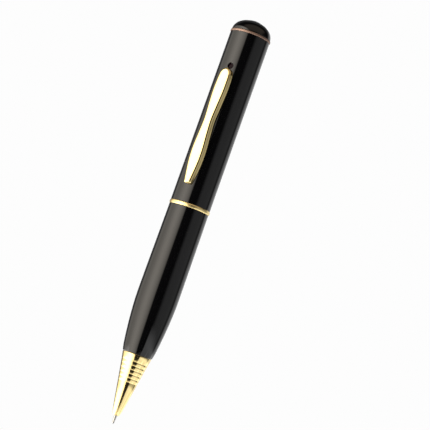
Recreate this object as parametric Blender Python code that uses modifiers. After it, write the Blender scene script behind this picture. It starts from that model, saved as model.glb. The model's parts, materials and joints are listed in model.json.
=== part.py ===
"""Camera pen: a ballpoint pen with a pinhole video camera above its clip.

The upper half holds the camera, its board and battery, and a USB-A plug on its lower end.
The lower half pulls off the plug and holds a refill behind a screw-off nose cone.
Lengths are millimetres in the pen's own frame: the axis is Z, the writing tip is at zero height,
and the clip and the lens face -Y. MM turns them into metres.
"""

import math

import bmesh
import bpy
from mathutils import Matrix

MM = 0.001
ROUND_STEPS = 48                  # facets round the barrels and all that slides or turns in them
SMALL_STEPS = 24                  # facets round the small inner pieces
FIT = 0.05                        # gap left where two pieces meet face to face

# Outside of the pen
PEN_LENGTH = 148.0
BARREL_RADIUS = 7.15              # upper half, straight
BARREL_WALL = 0.45
BELLY_RADIUS = 7.3                # lower half at its widest
MOUTH_RADIUS = 7.1                # lower half at the centre ring
SHOULDER_RADIUS = 5.3             # lower half where the nose cone meets it
SHOULDER_Z = 24.85
RING_RADIUS = 7.3
RING_BASE_Z = 77.9
RING_TOP_Z = 79.2
CROWN_RING_BASE_Z = 141.7
CROWN_RING_TOP_Z = 142.5
UPPER_BARREL_BASE_Z = RING_TOP_Z + FIT
UPPER_BARREL_TOP_Z = CROWN_RING_BASE_Z - FIT
BARREL_BORE = BARREL_RADIUS - BARREL_WALL

# Lens, clip and microphone
LENS_Z = 128.9
LENS_HOLE_RADIUS = 1.05
CLIP_SHEET = 0.45
CLIP_DEPTH = 1.75                 # front face to the edges of the flanges
CLIP_FRONT = 9.7                  # front face to the pen's axis, along the flat bridge
CLIP_FLAT_BASE_Z = 103.0
CLIP_FLAT_TOP_Z = 113.5
CLIP_BASE_Z = 85.4
CLIP_TOP_Z = 127.7
CLIP_LUG_Z = 124.8
CLIP_TOP_DIP = 0.4                # how far the front has come in at the slot
CLIP_FOOT_DIP = 0.75              # and near the foot
CLIP_WIDTHS = [                   # (height, full width) down the clip's wavy outline
    (127.7, 1.1), (127.2, 2.6), (126.2, 3.8), (124.2, 4.4), (119.0, 4.5), (113.8, 4.0), (108.6, 3.4),
    (103.5, 3.9), (100.0, 4.45), (96.6, 4.7), (93.1, 4.45), (89.7, 3.65), (86.2, 2.7), (85.4, 2.1),
]
THROAT_Y = -8.2                   # where a pocket's edge ends up, between clip and barrel
THROAT_Z = 122.0
MICROPHONE_Z = 117.0

# USB plug and its collar
PLUG_WIDTH = 12.0
PLUG_HEIGHT = 4.5
PLUG_WALL = 0.3
PLUG_CORNER = 0.6
PLUG_END_Z = 61.9
COLLAR_BASE_Z = 73.9
COLLAR_TOP_Z = 84.0
COLLAR_RADIUS = BARREL_BORE - FIT
SPIGOT_RADIUS = 6.58
PLUG_REAR_Z = 78.2

# Lower half
LOWER_BORE = 6.65
LINER_TOP_Z = 73.8
LINER_BASE_Z = 57.8
LINER_SLOT_Z = 59.5
HOLDER_TOP_Z = 56.8
HOLDER_BASE_Z = 43.8
REFILL_TOP_Z = 48.8
SPRING_SEAT_Z = 55.3
REFILL_RADIUS = 1.175
INSERT_RADIUS = 4.7
THREAD_RADIUS = 4.0               # nose cone's male thread, drawn plain
BALL_RADIUS = 0.35
TIP_LENGTH = 3.0

# Crown and power button
CROWN_BASE_Z = CROWN_RING_TOP_Z + FIT
BUTTON_RADIUS = 3.4


# ---------------------------------------------------------------- scene and materials

def clear_scene():
    for item in list(bpy.data.objects):
        bpy.data.objects.remove(item, do_unlink=True)


def new_collection(name):
    collection = bpy.data.collections.new(name)
    bpy.context.scene.collection.children.link(collection)
    return collection


def material(name, colour, roughness, metallic=0.0):
    made = bpy.data.materials.new(name)
    made.use_nodes = True
    shader = made.node_tree.nodes["Principled BSDF"]
    shader.inputs["Base Color"].default_value = (*colour, 1.0)
    shader.inputs["Roughness"].default_value = roughness
    shader.inputs["Metallic"].default_value = metallic
    made.diffuse_color = (*colour, 1.0)
    return made


clear_scene()
PEN = new_collection("camera_pen")
CUTTERS = new_collection("cutters")
AXIS = bpy.data.objects.new("pen_axis", None)
PEN.objects.link(AXIS)
AXIS.location = (0.0, -THROAT_Y * MM, -THROAT_Z * MM)

LACQUER = material("black_lacquer", (0.008, 0.008, 0.009), 0.08)
GOLD = material("gold_plate", (0.92, 0.75, 0.38), 0.16, 1.0)
COPPER = material("copper_plate", (0.62, 0.36, 0.20), 0.25, 1.0)
STEEL = material("bright_steel", (0.55, 0.55, 0.56), 0.25, 1.0)
BRASS = material("turned_brass", (0.70, 0.52, 0.25), 0.35, 1.0)
BLACK_PLASTIC = material("black_plastic", (0.02, 0.02, 0.02), 0.5)
GREY_PLASTIC = material("grey_plastic", (0.35, 0.36, 0.37), 0.55)
WHITE_PLASTIC = material("white_plastic", (0.80, 0.80, 0.78), 0.45)
GLASS = material("dark_glass", (0.10, 0.03, 0.05), 0.03)
BOARD = material("circuit_board", (0.02, 0.16, 0.07), 0.4)
CHIP = material("chip_epoxy", (0.03, 0.03, 0.035), 0.5)
FOIL = material("battery_foil", (0.70, 0.71, 0.72), 0.35, 1.0)
RED_WIRE = material("red_insulation", (0.55, 0.02, 0.02), 0.4)
BLACK_WIRE = material("black_insulation", (0.02, 0.02, 0.02), 0.4)
AMBER = material("ribbon_film", (0.45, 0.20, 0.03), 0.3)
GREEN_LENS = material("lamp_resin", (0.10, 0.60, 0.20), 0.2)


# ---------------------------------------------------------------- shape helpers

def place_object(name, mesh, look, place=(0.0, 0.0, 0.0), turn=(0.0, 0.0, 0.0)):
    """Link a mesh under the pen's axis; without a look it is a cutter."""
    made = bpy.data.objects.new(name, mesh)
    made.parent = AXIS
    made.location = [value * MM for value in place]
    made.rotation_euler = turn
    if look is None:
        CUTTERS.objects.link(made)
        made.hide_render = True
        made.display_type = "WIRE"
    else:
        PEN.objects.link(made)
        mesh.materials.append(look)
    return made


def finish_mesh(name, bm):
    bmesh.ops.recalc_face_normals(bm, faces=bm.faces)
    mesh = bpy.data.meshes.new(name)
    bm.to_mesh(mesh)
    bm.free()
    return mesh


def turned(name, outline, look, place=(0.0, 0.0, 0.0), turn=(0.0, 0.0, 0.0), steps=ROUND_STEPS):
    """Turn an outline of (radius, height) points about its own Z; it runs down the outer side."""
    count = len(outline)
    edges = [(index, index + 1) for index in range(count - 1)]
    starts_on_axis = outline[0][0] == 0.0
    if not starts_on_axis:
        edges.append((count - 1, 0))
    mesh = bpy.data.meshes.new(name)
    mesh.from_pydata([(radius * MM, 0.0, height * MM) for radius, height in outline], edges, [])
    made = place_object(name, mesh, look, place, turn)
    screw = made.modifiers.new("turn", "SCREW")
    screw.steps = steps
    screw.render_steps = steps
    screw.use_merge_vertices = True
    screw.merge_threshold = 0.000001
    screw.use_smooth_shade = False
    return made


def block(name, low, high, look, place=(0.0, 0.0, 0.0), turn=(0.0, 0.0, 0.0)):
    """A box between two corners."""
    size = [b - a for a, b in zip(low, high)]
    middle = [(a + b) / 2 for a, b in zip(low, high)]
    bm = bmesh.new()
    shape = Matrix.Translation([value * MM for value in middle])
    shape = shape @ Matrix.Diagonal([value * MM for value in size] + [1.0])
    bmesh.ops.create_cube(bm, size=1.0, matrix=shape)
    return place_object(name, finish_mesh(name, bm), look, place, turn)


def prism(name, outline, low, high, look, place=(0.0, 0.0, 0.0), turn=(0.0, 0.0, 0.0)):
    """A flat outline of (x, y) points raised from one height to another."""
    bm = bmesh.new()
    corners = [bm.verts.new((x * MM, y * MM, low * MM)) for x, y in outline]
    base = bm.faces.new(corners)
    raised = bmesh.ops.extrude_face_region(bm, geom=[base])["geom"]
    raised = [item for item in raised if isinstance(item, bmesh.types.BMVert)]
    bmesh.ops.translate(bm, verts=raised, vec=(0.0, 0.0, (high - low) * MM))
    return place_object(name, finish_mesh(name, bm), look, place, turn)


def rounded_rectangle(width, height, corner, steps=3):
    """Outline of a rectangle with round corners, anticlockwise."""
    points = []
    for index, (side, rise) in enumerate([(1, 1), (-1, 1), (-1, -1), (1, -1)]):
        centre_x = side * (width / 2 - corner)
        centre_y = rise * (height / 2 - corner)
        for step in range(steps + 1):
            angle = math.pi / 2 * (index + step / steps)
            points.append((centre_x + corner * math.cos(angle), centre_y + corner * math.sin(angle)))
    return points


def arc(radius, start, end, steps):
    """Points (x, y) along an arc about the origin, angles in degrees."""
    angles = [math.radians(start + (end - start) * step / steps) for step in range(steps + 1)]
    return [(radius * math.cos(angle), radius * math.sin(angle)) for angle in angles]


def wire(name, points, radius, look):
    """A round wire along a chain of points."""
    curve = bpy.data.curves.new(name, "CURVE")
    curve.dimensions = "3D"
    curve.bevel_depth = radius * MM
    curve.bevel_resolution = 2
    curve.use_fill_caps = True
    spline = curve.splines.new("POLY")
    spline.points.add(len(points) - 1)
    for point, (x, y, z) in zip(spline.points, points):
        point.co = (x * MM, y * MM, z * MM, 1.0)
    return place_object(name, curve, look)


def combine(target, tool, operation):
    change = target.modifiers.new(tool.name, "BOOLEAN")
    change.operation = operation
    change.object = tool
    change.solver = "EXACT"


def cut(target, tool):
    combine(target, tool, "DIFFERENCE")


# ---------------------------------------------------------------- outer pieces

def make_upper_barrel():
    """Straight brass tube with the lens hole, the clip's slot and a microphone pinhole."""
    top, base = UPPER_BARREL_TOP_Z, UPPER_BARREL_BASE_Z
    outline = [(BARREL_RADIUS, top), (BARREL_RADIUS, base), (BARREL_BORE, base), (BARREL_BORE, top)]
    tube = turned("upper_barrel", outline, LACQUER)
    facing_front = (math.pi / 2, 0.0, 0.0)
    lens_bore = [(0.0, 9.0), (LENS_HOLE_RADIUS, 9.0), (LENS_HOLE_RADIUS, 5.0), (0.0, 5.0)]
    cut(tube, turned("lens_bore", lens_bore, None, (0, 0, LENS_Z), facing_front, SMALL_STEPS))
    slot_low = (-1.7, -9.0, CLIP_LUG_Z - 0.85)
    slot_high = (1.7, -5.0, CLIP_LUG_Z + 0.85)
    cut(tube, block("clip_slot", slot_low, slot_high, None))
    pinhole = [(0.0, -5.0), (0.4, -5.0), (0.4, -9.0), (0.0, -9.0)]
    cut(tube, turned("microphone_bore", pinhole, None, (0, 0, MICROPHONE_Z), facing_front, 16))


def make_crown():
    """Domed end cap with a bore for the power button; its spigot plugs the barrel."""
    ring_z = CROWN_RING_TOP_Z - 0.4
    outline = [
        (BUTTON_RADIUS + 0.15, ring_z + 4.8), (4.3, ring_z + 4.55), (5.0, ring_z + 4.15),
        (5.9, ring_z + 3.4), (6.4, ring_z + 2.8), (6.75, ring_z + 2.15), (7.0, ring_z + 1.3),
        (7.1, CROWN_BASE_Z),
        (6.6, CROWN_BASE_Z), (6.6, 138.5), (4.7, 138.5), (4.7, 141.0), (BUTTON_RADIUS + 0.15, 141.0),
    ]
    turned("crown", outline, LACQUER)


def make_crown_ring():
    outline = [
        (7.18, CROWN_RING_TOP_Z), (7.3, CROWN_RING_TOP_Z - 0.15), (7.3, CROWN_RING_BASE_Z + 0.15),
        (7.18, CROWN_RING_BASE_Z),
        (6.65, CROWN_RING_BASE_Z), (6.65, CROWN_RING_TOP_Z),
    ]
    turned("crown_ring", outline, COPPER)


def make_power_button():
    """Push button in the crown: domed head, a flange that keeps it in, and a stem."""
    ring_z = CROWN_RING_TOP_Z - 0.4
    outline = [
        (0.0, PEN_LENGTH), (1.3, ring_z + 5.65), (2.5, ring_z + 5.3), (3.1, ring_z + 5.1),
        (BUTTON_RADIUS, ring_z + 4.85), (BUTTON_RADIUS, 140.95), (4.5, 140.95), (4.5, 140.1),
        (1.5, 140.1), (1.5, 137.2), (0.0, 137.2),
    ]
    turned("power_button", outline, LACQUER)


def clip_width(height):
    """Width of the clip at a height: a smooth curve through its listed widths."""
    rows = CLIP_WIDTHS
    index = 0
    while index < len(rows) - 2 and height < rows[index + 1][0]:
        index += 1
    (z0, w0), (z1, w1) = rows[index], rows[index + 1]

    def slope(at):
        before, after = rows[max(at - 1, 0)], rows[min(at + 1, len(rows) - 1)]
        return (after[1] - before[1]) / (after[0] - before[0])

    span = z1 - z0
    t = (height - z0) / span
    start = (2 * t ** 3 - 3 * t ** 2 + 1) * w0 + (t ** 3 - 2 * t ** 2 + t) * span * slope(index)
    end = (-2 * t ** 3 + 3 * t ** 2) * w1 + (t ** 3 - t ** 2) * span * slope(index + 1)
    return start + end


def clip_front(height):
    """Distance from the axis to the clip's front: flat along the bridge, dipping to both ends."""
    if height > CLIP_FLAT_TOP_Z:
        return CLIP_FRONT - CLIP_TOP_DIP * ((height - CLIP_FLAT_TOP_Z) / 10.7) ** 1.5
    if height < CLIP_FLAT_BASE_Z:
        return CLIP_FRONT - CLIP_FOOT_DIP * ((CLIP_FLAT_BASE_Z - height) / 16.8) ** 1.5
    return CLIP_FRONT


def clip_section(height):
    """Channel section of the clip at a height, as (x, y) points relative to the hinge line."""
    half = clip_width(height) / 2
    front = clip_front(height)
    near_end = height > CLIP_TOP_Z - 1.3 or height < CLIP_BASE_Z + 1.6
    depth = CLIP_DEPTH
    if height < CLIP_BASE_Z + 3.0:
        depth = 1.7
    if height > CLIP_TOP_Z - 2.0:
        depth = 1.5
    hollow = 0.1 if near_end else depth - CLIP_SHEET
    corner = min(0.55, 0.5 * half)
    bite = corner * (1 - math.sqrt(0.5))
    inner = half - min(CLIP_SHEET, 0.5 * half)
    edge = front - depth
    right = [
        (half, edge), (half, front - corner), (half - bite, front - bite), (half - corner, front),
    ]
    left = [(-x, distance) for x, distance in reversed(right)]
    hollow_side = [
        (-inner - 0.02, edge), (-inner, edge + hollow), (inner, edge + hollow), (inner + 0.02, edge),
    ]
    return [(x, -distance + BARREL_RADIUS) for x, distance in right + left + hollow_side]


def make_clip():
    """Pressed clip: a shallow channel with a wavy outline, closed at both ends, with a lug."""
    heights = [
        CLIP_TOP_Z, 127.5, 127.2, 126.7, 126.2, 125.3, 124.2, 122.5, 120.7, 119.0, 117.2, 115.4,
        CLIP_FLAT_TOP_Z, 111.0, 108.6, 106.0, CLIP_FLAT_BASE_Z, 101.4, 99.7, 98.0, 96.6, 95.0, 93.1, 91.4,
        89.7, 88.2, 87.0, 86.2, 85.8, CLIP_BASE_Z,
    ]
    bm = bmesh.new()
    rings = []
    for height in heights:
        points = clip_section(height)
        rings.append([bm.verts.new((x * MM, y * MM, (height - CLIP_LUG_Z) * MM)) for x, y in points])
    for upper, lower in zip(rings, rings[1:]):
        for index in range(len(upper)):
            following = (index + 1) % len(upper)
            bm.faces.new((upper[index], upper[following], lower[following], lower[index]))
    bm.faces.new(rings[0])
    bm.faces.new(rings[-1])
    hinge_point = (0.0, -BARREL_RADIUS, CLIP_LUG_Z)
    clip = place_object("clip", finish_mesh("clip", bm), GOLD, hinge_point)
    lug_low = (-1.5, BARREL_RADIUS - 9.0, -0.6)
    lug_high = (1.5, BARREL_RADIUS - 5.2, 0.6)
    combine(clip, block("clip_lug", lug_low, lug_high, None, hinge_point), "UNION")


def make_clip_anchor():
    """Block inside the barrel that the clip's lug is held in."""
    anchor = block("clip_anchor", (-2.6, -6.0, 122.9), (2.6, -3.6, 126.2), BRASS)
    pocket_low = (-1.7, -7.0, CLIP_LUG_Z - 0.85)
    pocket_high = (1.7, -4.9, CLIP_LUG_Z + 0.85)
    cut(anchor, block("anchor_pocket", pocket_low, pocket_high, None))


# ---------------------------------------------------------------- camera module

def make_camera():
    """Pinhole camera module that looks along -Y; local height is the distance from the axis."""
    place = (0.0, 0.0, LENS_Z)
    facing = (math.pi / 2, 0.0, 0.0)
    window = [(0.0, 6.4), (1.6, 6.4), (1.6, 5.9), (0.0, 5.9)]
    turned("lens_window", window, GLASS, place, facing, SMALL_STEPS)
    holder = [
        (0.6, 5.8), (2.3, 5.8), (2.3, 2.9), (1.75, 2.9), (1.75, 5.3), (0.5, 5.3),
    ]
    turned("lens_barrel", holder, BLACK_PLASTIC, place, facing, SMALL_STEPS)
    front = [(0.0, 5.22), (0.9, 5.1), (1.65, 4.85), (1.65, 4.6), (0.0, 4.6)]
    turned("lens_front", front, GLASS, place, facing, SMALL_STEPS)
    rear = [(0.0, 4.3), (1.65, 4.3), (1.65, 4.05), (0.9, 3.75), (0.0, 3.6)]
    turned("lens_rear", rear, GLASS, place, facing, SMALL_STEPS)
    housing = block("camera_housing", (-3.2, -3.2, -0.3), (3.2, 3.2, 2.85), BLACK_PLASTIC, place, facing)
    cut(housing, block("sensor_well", (-2.7, -2.7, -1.0), (2.7, 2.7, 2.3), None, place, facing))
    throat = [(0.0, 4.0), (1.5, 4.0), (1.5, 1.0), (0.0, 1.0)]
    cut(housing, turned("light_throat", throat, None, place, facing, SMALL_STEPS))
    block("ir_filter", (-2.4, -2.4, 1.8), (2.4, 2.4, 2.2), GLASS, place, facing)
    block("image_sensor", (-2.3, -2.3, -0.3), (2.3, 2.3, 0.5), CHIP, place, facing)
    block("sensor_board", (-3.4, -3.4, -1.0), (3.4, 3.4, -0.35), BOARD, place, facing)


def make_camera_ribbon():
    """Flat flexible cable from the sensor board down to the main board, 4 mm wide."""
    steps = 12
    outer, inner = [], []
    for step in range(steps + 1):
        part = step / steps
        height = 126.5 - 6.2 * part
        bulge = 1.3 + 0.3 * part + 1.1 * math.sin(math.pi * part)
        inner.append((bulge, height))
        outer.append((bulge + 0.15, height))
    outline = outer + inner[::-1]
    # The outline lies in Y and Z; two quarter turns bring the extrusion onto X.
    prism("camera_ribbon", outline, -2.0, 2.0, AMBER, turn=(math.pi / 2, 0.0, math.pi / 2))


# ---------------------------------------------------------------- electronics

def make_inner_frame():
    """Trough-shaped carrier with a ledge along each edge for the main board."""
    ledge_low, ledge_high, ledge_x = -0.3, 0.5, 5.0
    outer_radius, inner_radius = BARREL_BORE - 0.1, 6.0
    outer_start = math.degrees(math.asin(ledge_low / outer_radius))
    inner_start = math.degrees(math.asin(ledge_high / inner_radius))
    outline = arc(outer_radius, outer_start, 180.0 - outer_start, 24)
    outline += [(-ledge_x, ledge_low), (-ledge_x, ledge_high)]
    outline += arc(inner_radius, 180.0 - inner_start, inner_start, 24)
    outline += [(ledge_x, ledge_high), (ledge_x, ledge_low)]
    frame = prism("inner_frame", outline, 84.3, 123.8, GREY_PLASTIC)
    sound_port = [(0.0, -5.0), (0.7, -5.0), (0.7, -9.0), (0.0, -9.0)]
    port = turned("sound_port", sound_port, None, (0, 0, MICROPHONE_Z), (math.pi / 2, 0, 0), 12)
    cut(frame, port)


def make_boards():
    """Main board with its chips, and the small round board under the power switch."""
    block("main_board", (-5.7, 0.6, 84.5), (5.7, 1.4, 123.5), BOARD)
    face = 1.4 + FIT
    block("processor_chip", (-3.5, face, 101.0), (3.5, face + 0.9, 108.0), CHIP)
    block("memory_chip", (-4.0, face, 89.0), (4.0, face + 1.0, 98.0), CHIP)
    block("charge_chip", (-4.4, face, 110.0), (-1.4, face + 1.0, 113.0), CHIP)
    block("clock_crystal", (1.2, face, 110.2), (4.4, face + 0.8, 112.7), STEEL)
    block("status_led", (-0.8, face, 85.3), (0.8, face + 0.8, 86.3), GREEN_LENS)
    capsule = [(0.0, -1.5), (2.0, -1.5), (2.0, -5.6), (0.0, -5.6)]
    turned("microphone", capsule, STEEL, (0, 0, MICROPHONE_Z), (math.pi / 2, 0, 0), SMALL_STEPS)
    disc = [(0.0, 133.9), (5.6, 133.9), (5.6, 133.35), (0.0, 133.35)]
    turned("switch_board", disc, BOARD, steps=SMALL_STEPS)


def make_battery():
    """Flat lithium cell with a red and a black lead to the main board."""
    outline = rounded_rectangle(9.0, 4.2, 0.9)
    prism("battery_cell", outline, 86.0, 118.0, FOIL, (0.0, -2.35, 0.0))
    for name, x, look in (("battery_lead_red", 1.6, RED_WIRE), ("battery_lead_black", -1.6, BLACK_WIRE)):
        route = [
            (x, -2.3, 118.1), (x, -2.3, 119.2), (x, -2.0, 120.0), (x, -1.3, 120.6), (x, -0.5, 120.8),
            (x, 0.5, 120.8),
        ]
        wire(name, route, 0.35, look)


def make_switch():
    """Push switch under the power button: a square body and its plunger."""
    body = block("switch_housing", (-3.0, -3.0, 133.95), (3.0, 3.0, 136.3), BLACK_PLASTIC)
    bore = [(0.0, 138.0), (1.8, 138.0), (1.8, 134.3), (0.0, 134.3)]
    cut(body, turned("plunger_bore", bore, None, steps=SMALL_STEPS))
    plunger = [(0.0, 137.15), (1.65, 137.15), (1.65, 134.85), (0.0, 134.85)]
    turned("switch_plunger", plunger, WHITE_PLASTIC, steps=SMALL_STEPS)


# ---------------------------------------------------------------- USB plug

def make_usb_collar():
    """Moulded collar that closes the camera half and holds the rear of the plug."""
    outline = [
        (0.0, COLLAR_TOP_Z), (COLLAR_RADIUS, COLLAR_TOP_Z), (COLLAR_RADIUS, UPPER_BARREL_BASE_Z),
        (SPIGOT_RADIUS, UPPER_BARREL_BASE_Z), (SPIGOT_RADIUS, COLLAR_BASE_Z), (0.0, COLLAR_BASE_Z),
    ]
    collar = turned("usb_collar", outline, BLACK_PLASTIC)
    pocket = rounded_rectangle(PLUG_WIDTH + 2 * FIT, PLUG_HEIGHT + 2 * FIT, PLUG_CORNER)
    cut(collar, prism("plug_pocket", pocket, COLLAR_BASE_Z - 1.0, PLUG_REAR_Z + FIT, None))


def make_usb_plug():
    """USB-A plug: folded steel shell with latch windows, plastic tongue, four contacts."""
    shell = prism(
        "usb_plug_shell", rounded_rectangle(PLUG_WIDTH, PLUG_HEIGHT, PLUG_CORNER),
        PLUG_END_Z, PLUG_REAR_Z, STEEL,
    )
    inner_width = PLUG_WIDTH - 2 * PLUG_WALL
    inner_height = PLUG_HEIGHT - 2 * PLUG_WALL
    mouth = rounded_rectangle(inner_width, inner_height, PLUG_CORNER - PLUG_WALL)
    cut(shell, prism("plug_mouth", mouth, PLUG_END_Z - 1.0, PLUG_REAR_Z + 1.0, None))
    for side in (-1, 1):
        low = (side * 3.0 - 1.25, -3.0, PLUG_END_Z + 5.2)
        high = (side * 3.0 + 1.25, 3.0, PLUG_END_Z + 7.2)
        cut(shell, block("latch_window", low, high, None))
    tongue_top = -0.11
    outline = [
        (-5.6, -1.88), (5.6, -1.88), (5.6, tongue_top), (-5.6, tongue_top),
    ]
    tongue = prism("usb_tongue", outline, PLUG_END_Z + 0.4, PLUG_REAR_Z, WHITE_PLASTIC)
    base_low = (-5.6, -1.5, COLLAR_BASE_Z)
    base_high = (5.6, 1.85, PLUG_REAR_Z)
    combine(tongue, block("tongue_base", base_low, base_high, None), "UNION")
    for index in range(4):
        x = (index - 1.5) * 2.25
        length = 7.4 if index in (0, 3) else 6.4
        low = (x - 0.5, tongue_top + 0.03, PLUG_END_Z + 1.5)
        high = (x + 0.5, tongue_top + 0.23, PLUG_END_Z + 1.5 + length)
        block("usb_contact_%d" % (index + 1), low, high, GOLD)


# ---------------------------------------------------------------- writing half

def make_lower_barrel():
    """Tapered brass tube: full at the middle, rounding down to the nose cone."""
    outline = [
        (MOUTH_RADIUS, RING_BASE_Z - FIT), (7.15, 72.0), (7.25, 60.0), (BELLY_RADIUS, 50.0),
        (BELLY_RADIUS, 45.0), (7.2, 41.7), (6.9, 37.5), (6.5, 33.2), (6.05, 29.3), (5.7, 26.8),
        (SHOULDER_RADIUS, SHOULDER_Z), (INSERT_RADIUS + FIT, SHOULDER_Z), (INSERT_RADIUS + FIT, 32.3),
        (6.0, 38.5), (LOWER_BORE, 44.0), (LOWER_BORE, RING_BASE_Z - FIT),
    ]
    turned("lower_barrel", outline, LACQUER)


def make_centre_ring():
    outline = [
        (7.15, RING_TOP_Z), (RING_RADIUS, RING_TOP_Z - 0.2), (RING_RADIUS, RING_BASE_Z + 0.2),
        (7.15, RING_BASE_Z), (LOWER_BORE, RING_BASE_Z), (LOWER_BORE, RING_TOP_Z),
    ]
    turned("centre_ring", outline, GOLD)


def make_plug_liner():
    """Plastic liner whose slot grips the plug's shell and keeps the halves in line."""
    radius = LOWER_BORE - FIT
    outline = [(0.0, LINER_TOP_Z), (radius, LINER_TOP_Z), (radius, LINER_BASE_Z), (0.0, LINER_BASE_Z)]
    liner = turned("plug_liner", outline, BLACK_PLASTIC)
    slot = rounded_rectangle(PLUG_WIDTH + 0.2, PLUG_HEIGHT + 0.2, PLUG_CORNER)
    cut(liner, prism("liner_slot", slot, LINER_SLOT_Z, LINER_TOP_Z + 1.0, None))


def make_refill_holder():
    """Flanged plastic holder: its blind bore guides the refill's rear end and seats the spring."""
    rim, stem, bore = LOWER_BORE - FIT, 2.4, 1.35
    outline = [
        (0.0, HOLDER_TOP_Z), (rim, HOLDER_TOP_Z), (rim, HOLDER_TOP_Z - 1.2), (stem, HOLDER_TOP_Z - 1.2),
        (stem, HOLDER_BASE_Z + 1.2), (rim, HOLDER_BASE_Z + 1.2), (rim, HOLDER_BASE_Z),
        (bore, HOLDER_BASE_Z), (bore, SPRING_SEAT_Z), (0.0, SPRING_SEAT_Z),
    ]
    turned("refill_holder", outline, GREY_PLASTIC)


def make_refill_spring():
    """Compression spring between the refill's rear end and the holder's seat."""
    coil_radius, wire_radius, turns, points_per_turn = 1.06, 0.13, 7, 12
    low = REFILL_TOP_Z + wire_radius + 0.03
    high = SPRING_SEAT_Z - wire_radius - 0.03
    count = turns * points_per_turn
    route = []
    for index in range(count + 1):
        angle = 2 * math.pi * index / points_per_turn
        height = low + (high - low) * index / count
        route.append((coil_radius * math.cos(angle), coil_radius * math.sin(angle), height))
    wire("refill_spring", route, wire_radius, STEEL)


def make_thread_insert():
    """Brass bush at the barrel's lower end that the nose cone screws into."""
    bore = THREAD_RADIUS + 0.1
    outline = [(INSERT_RADIUS, 32.0), (INSERT_RADIUS, 25.2), (bore, 25.2), (bore, 32.0)]
    turned("thread_insert", outline, BRASS)


def make_refill():
    """Ink tube, brass point and the ball in its socket."""
    tube = [
        (REFILL_RADIUS, REFILL_TOP_Z), (REFILL_RADIUS, 8.05), (0.95, 8.05), (0.95, REFILL_TOP_Z),
    ]
    turned("refill_tube", tube, BRASS, steps=SMALL_STEPS)
    point = [
        (0.0, 11.0), (0.9, 11.0), (0.9, 8.0), (1.15, 8.0), (1.15, 5.7), (0.5, 4.0), (0.48, 1.3),
        (0.42, 0.42), (0.38, 0.42), (0.38, 0.78), (0.0, 0.78),
    ]
    turned("refill_point", point, STEEL, steps=SMALL_STEPS)
    bm = bmesh.new()
    bmesh.ops.create_uvsphere(bm, u_segments=16, v_segments=10, radius=BALL_RADIUS * MM)
    place_object("writing_ball", finish_mesh("writing_ball", bm), STEEL, (0.0, 0.0, BALL_RADIUS))


def make_nose_cone():
    """Gold cone with fine ring grooves round its upper half and a spigot for the thread."""
    cone = [(5.15, SHOULDER_Z - FIT), (5.15, 24.4), (4.85, 23.0)]
    groove_top, groove_pitch, groove_count, groove_depth = 22.4, 1.45, 6, 0.16
    for index in range(groove_count):
        height = groove_top - index * groove_pitch
        radius = 4.85 - (23.0 - height) * 0.175
        cone += [(radius, height), (radius - groove_depth, height - 0.2), (radius - 0.07, height - 0.4)]
    cone += [(2.83, 11.3), (2.25, 7.9), (1.6, 4.5), (1.27, 3.25), (1.05, TIP_LENGTH)]
    bore = [
        (0.6, TIP_LENGTH), (0.6, 3.4), (1.3, 5.2), (1.3, 14.0), (3.1, 17.0), (3.1, 30.5),
        (THREAD_RADIUS, 30.5), (THREAD_RADIUS, SHOULDER_Z - FIT),
    ]
    turned("nose_cone", cone + bore, GOLD, steps=36)


# ---------------------------------------------------------------- build

make_upper_barrel()
make_crown()
make_crown_ring()
make_power_button()
make_clip()
make_clip_anchor()
make_camera()
make_camera_ribbon()
make_inner_frame()
make_boards()
make_battery()
make_switch()
make_usb_collar()
make_usb_plug()
make_lower_barrel()
make_centre_ring()
make_plug_liner()
make_refill_holder()
make_refill_spring()
make_thread_insert()
make_refill()
make_nose_cone()
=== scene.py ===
"""Looks of the camera pen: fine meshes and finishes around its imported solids.

Lengths in the outlines are millimetres in the pen's own frame: radius from its axis, and height
over the writing tip. at() turns them into metres in the world's frame.
"""

import bmesh
import bpy
import json
import math
from mathutils import Matrix, Vector

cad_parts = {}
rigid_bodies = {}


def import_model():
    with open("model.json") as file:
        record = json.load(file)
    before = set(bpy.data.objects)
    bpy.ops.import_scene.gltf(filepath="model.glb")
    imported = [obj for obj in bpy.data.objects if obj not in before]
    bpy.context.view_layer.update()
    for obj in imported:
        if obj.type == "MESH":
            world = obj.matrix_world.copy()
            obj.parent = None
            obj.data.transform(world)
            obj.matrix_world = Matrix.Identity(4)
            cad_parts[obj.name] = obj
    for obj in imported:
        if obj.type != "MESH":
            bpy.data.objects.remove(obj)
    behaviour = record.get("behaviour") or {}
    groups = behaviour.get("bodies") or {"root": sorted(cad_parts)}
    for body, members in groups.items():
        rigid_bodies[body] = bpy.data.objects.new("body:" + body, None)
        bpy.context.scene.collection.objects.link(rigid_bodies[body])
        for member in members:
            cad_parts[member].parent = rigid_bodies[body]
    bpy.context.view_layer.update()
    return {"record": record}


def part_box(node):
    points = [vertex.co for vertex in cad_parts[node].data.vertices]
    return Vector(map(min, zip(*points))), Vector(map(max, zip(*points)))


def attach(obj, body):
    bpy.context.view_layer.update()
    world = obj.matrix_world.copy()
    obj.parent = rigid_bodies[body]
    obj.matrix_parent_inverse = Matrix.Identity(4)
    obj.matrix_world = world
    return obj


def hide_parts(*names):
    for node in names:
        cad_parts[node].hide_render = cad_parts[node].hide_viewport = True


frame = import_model()

MM = 0.001
STEPS = 160                       # facets round the barrels
SMALL_STEPS = 64                  # facets round the small pieces
WELD = 0.0000005                  # metres within which points merge
WAVE_PERIOD = 0.314               # a wave texture's period at scale 1

# The pen's axis and writing tip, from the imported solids
barrel_low, barrel_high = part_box("upper_barrel")
AXIS_X = (barrel_low.x + barrel_high.x) / 2
AXIS_Y = (barrel_low.y + barrel_high.y) / 2
TIP_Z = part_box("writing_ball")[0].z


def at(x, y, z):
    """A point of the pen's own frame, in millimetres, as a place in the world."""
    return Vector((AXIS_X + x * MM, AXIS_Y + y * MM, TIP_Z + z * MM))


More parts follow.
